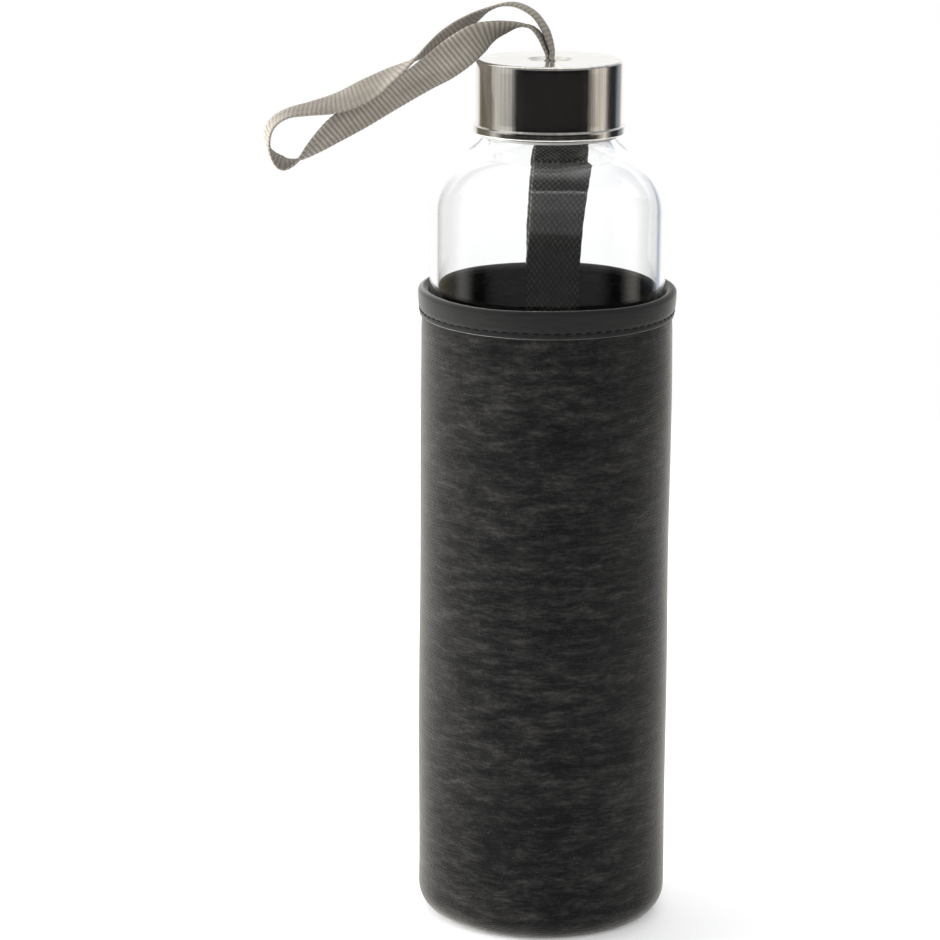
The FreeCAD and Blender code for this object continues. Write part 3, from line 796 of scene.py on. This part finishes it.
def make_binding():
    """Rolled binding over the rim, full at its crest and drawn in where it is sewn."""
    inner = BINDING_INNER_R
    stitch = STITCH_UP - BINDING_DROP
    bulge = np.linspace(0, 1, 46)
    out_r = BINDING_HEM_R + (BINDING_R - BINDING_HEM_R) * np.sin(bulge * math.pi / 2) ** 0.8
    outside = np.stack([out_r, -BINDING_DROP * (1 - bulge)], 1)
    hem = arc((BINDING_HEM_R - 0.3, 0.3 - BINDING_DROP), 0.3, -90, 0, 5)
    crest = arc((CREST_RADIUS, 0), CREST_R, 0, 180, 22)
    back = run((inner, 0), (inner, -BINDING_DROP), 40)
    under = run((inner, -BINDING_DROP), (BINDING_HEM_R - 0.3, -BINDING_DROP), 4)
    outline = join(hem, outside[1:], crest, back, under)
    count = round(TAU * (BINDING_HEM_R + 0.25) / STITCH_PITCH)

    def sewn(angle, radius, height):
        away = height - stitch
        pulled = 0.5 + 0.5 * np.cos((angle - math.pi / 2) * count)
        groove = 0.34 * np.exp(-(away / 0.46) ** 2) * (0.75 + 0.25 * pulled)
        pucker = 0.03 * np.exp(-((away - 1.3) / 1.1) ** 2) * pulled
        hem_line = 0.16 * np.exp(-((away - 0.75) / 0.2) ** 2)
        sign = np.where(radius > CREST_RADIUS, -1, 1)
        change = sign * np.where(height < -0.5, groove + pucker + hem_line * 0.4, 0)
        change = np.where(radius < CREST_RADIUS, change * 0.55, change)
        uneven = 0.12 * wobble(9, 7, angle, height * 4) * ease(height, -BINDING_DROP, 0)
        lift = 0.22 * wobble(12, 5, angle, 0 * height) * ease(height, -5, 1)
        return angle, radius + change + np.where(radius > CREST_RADIUS, uneven, 0), height + lift

    piece = lathe("rim_roll", outline, count * 8, BINDING, sewn)
    points = np.empty(len(piece.data.vertices) * 3)
    piece.data.vertices.foreach_get("co", points)
    piece.data.vertices.foreach_set("co", (tilt_rim(points.reshape(-1, 3) / MM) * MM).ravel())
    piece.data.update()
    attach(piece, "sleeve")
    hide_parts("rim_binding")


def ring_of_stitches(radius, height):
    """Starts and ends of stitches laid end to end round a circle, with a little scatter."""
    count = round(TAU * (BINDING_HEM_R + 0.25) / STITCH_PITCH)
    scatter = np.random.default_rng(3).normal(0, 0.06, (count, 2))
    middle = np.arange(count) / count * TAU
    half = STITCH_LENGTH / 2 / radius
    ends = []
    for side, rise in ((-half, scatter[:, 0]), (half, scatter[:, 1])):
        angle = middle + side
        ends.append(np.stack([radius * np.cos(angle), radius * np.sin(angle),
                              height + rise * 0.6], 1))
    return ends


def sew(name, node, starts, ends, radius=0.28):
    """Stitches of the sleeve that stand in for a CAD node."""
    piece = threads(name, starts, ends, radius, THREAD)
    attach(piece, "sleeve")
    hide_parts(node)


def make_stitches():
    """Both faces of the rim's seam, the base seam, and the zigzag that closes the back."""
    height = STITCH_UP - BINDING_DROP
    starts, ends = (tilt_rim(e) for e in ring_of_stitches(BINDING_HEM_R + 0.08, height))
    sew("rim_stitches", "rim_stitching", starts, ends)
    starts, ends = (tilt_rim(e) for e in ring_of_stitches(BINDING_INNER_R + 0.16, height))
    clear = (starts[:, 1] < 0) | (np.abs(starts[:, 0] - LOOP_X) > LOOP_W / 2 + 1.5)
    sew("rim_stitches_inner", "rim_stitching_inner", starts[clear], ends[clear])
    count = round(TAU * BASE_R / STITCH_PITCH)
    angle = np.arange(count) / count * TAU
    half = STITCH_LENGTH / 2 / BASE_R
    ring = [np.stack([(BASE_R + 0.2) * np.cos(a), (BASE_R + 0.2) * np.sin(a),
                      np.full(count, 0.36)], 1) for a in (angle - half, angle + half)]
    sew("base_seam_stitches", "base_seam_stitching", *ring)
    low, high = CORNER_R + 2, RIM_Z - BINDING_DROP - 1
    count = round((high - low) / STITCH_PITCH)
    step = (high - low) / count
    side = np.where(np.arange(count) % 2, 1, -1) * 1.3
    rise = low + step * np.arange(count)
    back = np.full(count, SLEEVE_R + 0.02)
    sew("back_seam_stitches", "back_seam_stitching", np.stack([side, back, rise], 1),
        np.stack([-side, back, rise + 0.8 * step], 1))


# ---------------------------------------------------------------- hanging loop

def loop_point(across, radius, height, shift):
    """A place on the loop: curved with the sleeve at its foot, flat and leaning above."""
    bend = 1 - ease(height, 180, 189)
    sag = radius - np.sqrt(np.maximum(radius ** 2 - (LOOP_X + across) ** 2, 0))
    lean = LOOP_LEAN * np.maximum(height - FOOT_TOP, 0)
    return np.stack(np.broadcast_arrays(LOOP_X + across + lean + shift,
                                        radius - bend * sag, height), -1)


def make_hanging_loop():
    """Webbing up the inside of the rim, folded over at the top, and down again."""
    front, back, tape = FOOT_FACE_R + 0.25, FOOT_FACE_R + 0.79, 0.5
    open_by = 1.9
    path = [(back, FOOT_LOW), (back, 166), (back, 174), (back, 181), (back + 0.5, 188),
            (back + open_by, 197), (back + open_by + 0.1, 204),
            (back + open_by - 0.1, LOOP_TOP - 2),
            (back + open_by - 0.9, LOOP_TOP - 0.6), (back + 0.5, LOOP_TOP - 0.35),
            (front + 0.25, LOOP_TOP - 1.1), (front - 0.05, LOOP_TOP - 3), (front, 203),
            (front, 195), (front, 186), (front, 178), (front, 168), (front, FOOT_LOW)]
    rows = [(r, 0, z) for r, z in path]
    length, route = smooth_path(rows, 0.5)
    radius, height = route[:, 0], route[:, 2]
    slope = np.gradient(np.stack([radius, height], 1), length, axis=0)
    slope /= np.linalg.norm(slope, axis=1, keepdims=True)
    a, b = tape_section(21)
    spread = 1 + 0.1 * ease(height, 186, LOOP_TOP) + 0.005 * np.sin(length / 0.8)
    across = a[None] * LOOP_W / 2 * spread[:, None]
    depth = b[None] * tape / 2
    r = radius[:, None] - slope[:, 1:2] * depth
    z = height[:, None] + slope[:, 0:1] * depth
    half_way = length / length[-1]
    shift = -0.75 * (1 - ease(half_way, 0.42, 0.55)) * ease(height, 180, 190)
    cup = 0.25 * (a[None] ** 2) * ease(height, 186, 204)[:, None]
    points = loop_point(across, r + cup, z, shift[:, None])
    around = np.concatenate([a, a[:1]]) * LOOP_W / 2
    uv = np.stack(np.meshgrid(around, length), -1)[..., ::-1]
    ends = [points[:1].mean(1, keepdims=True) + 0 * points[:1],
            points[-1:].mean(1, keepdims=True) + 0 * points[:1]]
    points = np.concatenate([ends[0], points, ends[1]])
    uv = np.concatenate([uv[:1], uv, uv[-1:]])
    piece = surface("hanging_loop_tape", points, LOOP, wrap_cols=True, uv=uv)
    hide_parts("sleeve_loop", "sleeve_loop_foot")
    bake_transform(piece)
    rows, cols = np.meshgrid(np.arange(6), np.arange(-2, 3))
    angle = np.radians(90 + 4.6 * cols.ravel() - math.degrees(LOOP_X / FOOT_FACE_R))
    turn = np.stack([np.cos(angle), np.sin(angle), 0 * angle], 1)
    aside = np.stack([-np.sin(angle), np.cos(angle), 0 * angle], 1)
    centre = turn * (FOOT_FACE_R + 0.06)
    centre[:, 2] = FOOT_LOW + 2.5 + 1.1 * rows.ravel()
    sew("loop_bartack_stitches", "loop_bartack", centre - aside * 1.1, centre + aside * 1.1, 0.17)


# ---------------------------------------------------------------- parts kept from CAD

def finish_cad(node, material):
    """Give a CAD node that stays as it is a better material."""
    piece = frame["nodes"][node]
    piece.data.materials.clear()
    piece.data.materials.append(material)


# ---------------------------------------------------------------- studio

def make_floor():
    """A round pale table top under the bottle, glowing a little so its far edge is lost."""
    outline = np.stack([np.linspace(0, 700, 40), np.full(40, 0.0)], 1)
    material, _, shader = nodes_of("pale_floor")
    shader.inputs["Base Color"].default_value = (0.9, 0.9, 0.9, 1)
    shader.inputs["Roughness"].default_value = 0.9
    shader.inputs["Emission Color"].default_value = (1, 1, 1, 1)
    shader.inputs["Emission Strength"].default_value = 0.22
    piece = lathe("floor", outline, 96, material, closed=False)
    piece.data.flip_normals()


def make_world():
    """Soft surroundings: a bright sky overhead and upright bands of light and dark.

    The place round the horizon is the angle of the direction from -Y towards +X. Light
    that comes in through glass finds the front wall brighter than the steel does, and
    the camera sees plain white.
    """
    world = bpy.data.worlds.new("studio")
    bpy.context.scene.world = world
    world.use_nodes = True
    tree = world.node_tree
    tree.nodes.clear()
    split = add(tree, "ShaderNodeSeparateXYZ", {0: coordinates(tree, "Generated")}).outputs
    front = maths(tree, "MULTIPLY", split["Y"], -1.0)
    angle = maths(tree, "ARCTAN2", split["X"], front)
    place = within(tree, angle, -math.pi, math.pi)
    white, dark = (1.14, 1.14, 1.14), (0.012, 0.011, 0.012)
    bands = [(-180, white), (-145, white), (-139, (0.2, 0.18, 0.135)),
             (-104, (0.2, 0.18, 0.135)), (-98, (0.75, 0.74, 0.70)), (-62, (0.72, 0.71, 0.68)),
             (-55, dark), (66, dark), (71, (0.78, 0.72, 0.64)), (100, (0.8, 0.76, 0.7)),
             (104, (0.03, 0.03, 0.035)), (130, (0.03, 0.03, 0.035)),
             (135, (0.40, 0.44, 0.5)), (147, (0.40, 0.44, 0.5)), (153, white), (180, white)]
    sides = ramp(tree, place, [((turn + 180) / 360, colour) for turn, colour in bands])
    level = within(tree, split["Z"], 0.3, 0.5)
    forward = within(tree, front, 0.0, 0.2)
    low_down = within(tree, split["Z"], -0.145, -0.165)
    sides = mixed(tree, maths(tree, "MULTIPLY", forward, low_down), sides,
                  (0.02, 0.02, 0.02, 1))
    raised = mixed(tree, level, sides, (0.9, 0.9, 0.9, 1))
    overhead = within(tree, split["Z"], 0.5, 0.72)
    light = mixed(tree, overhead, raised, (1.45, 1.45, 1.45, 1))
    aside = within(tree, split["X"], 0.3, 0.55)
    light = mixed(tree, maths(tree, "MULTIPLY", aside, level), light, (0.42, 0.45, 0.51, 1))
    ahead = maths(tree, "MULTIPLY", within(tree, front, -0.1, 0.2), level)
    light = mixed(tree, ahead, light, (0.32, 0.32, 0.32, 1))
    path = add(tree, "ShaderNodeLightPath").outputs
    wide = within(tree, front, 0.35, 0.6)
    through = maths(tree, "MULTIPLY", wide, path["Is Transmission Ray"])
    light = mixed(tree, through, light, (0.42, 0.42, 0.42, 1))
    colour = mixed(tree, path["Is Camera Ray"], light, (1, 1, 1, 1))
    background = add(tree, "ShaderNodeBackground", {"Color": colour, "Strength": 1.0})
    output = add(tree, "ShaderNodeOutputWorld")
    tree.links.new(background.outputs[0], output.inputs["Surface"])


def make_lamps():
    """Large soft lamps in front and at the sides, which the steel doesn't mirror."""
    lamps = [("front", (0.2, -1.1, 0.65), 10.0), ("left", (-0.9, 0.1, 0.10), 30.0),
             ("right", (0.9, 0.2, 0.3), 1.0)]
    for name, place, watts in lamps:
        data = bpy.data.lights.new("lamp_" + name, "AREA")
        data.size = 0.7
        data.energy = watts
        lamp = bpy.data.objects.new("lamp_" + name, data)
        bpy.context.scene.collection.objects.link(lamp)
        lamp.visible_glossy = False
        lamp.visible_transmission = False
        aim = Vector((0, 0, 0.13)) - Vector(place)
        turned = aim.to_track_quat("-Z", "Y").to_matrix().to_4x4()
        lamp.matrix_world = Matrix.Translation(place) @ turned


def make_camera():
    """Just over a metre in front, a little above the cap, with a long lens."""
    data = bpy.data.cameras.new("camera")
    data.lens = 159.5
    data.clip_start = 0.05
    camera = bpy.data.objects.new("camera", data)
    bpy.context.scene.collection.objects.link(camera)
    pan = Matrix.Rotation(math.radians(1.06), 4, "Z")
    tip = Matrix.Rotation(math.radians(90 - 12.45), 4, "X")
    roll = Matrix.Rotation(math.radians(0.4), 4, "Z")
    camera.matrix_world = Matrix.Translation((0, -1.123, 0.374)) @ pan @ tip @ roll
    bpy.context.scene.camera = camera


make_camera()
make_strap()
make_hanging_loop()
make_glass()
make_cap()
make_sleeve_body()
make_sleeve_base()
make_binding()
make_stitches()
finish_cad("cap_liner", LINER)
finish_cad("cap_gasket", SILICONE)
finish_cad("strap_retainer", RETAINER)
make_floor()
make_world()
make_lamps()
bpy.context.scene.view_settings.view_transform = "Standard"
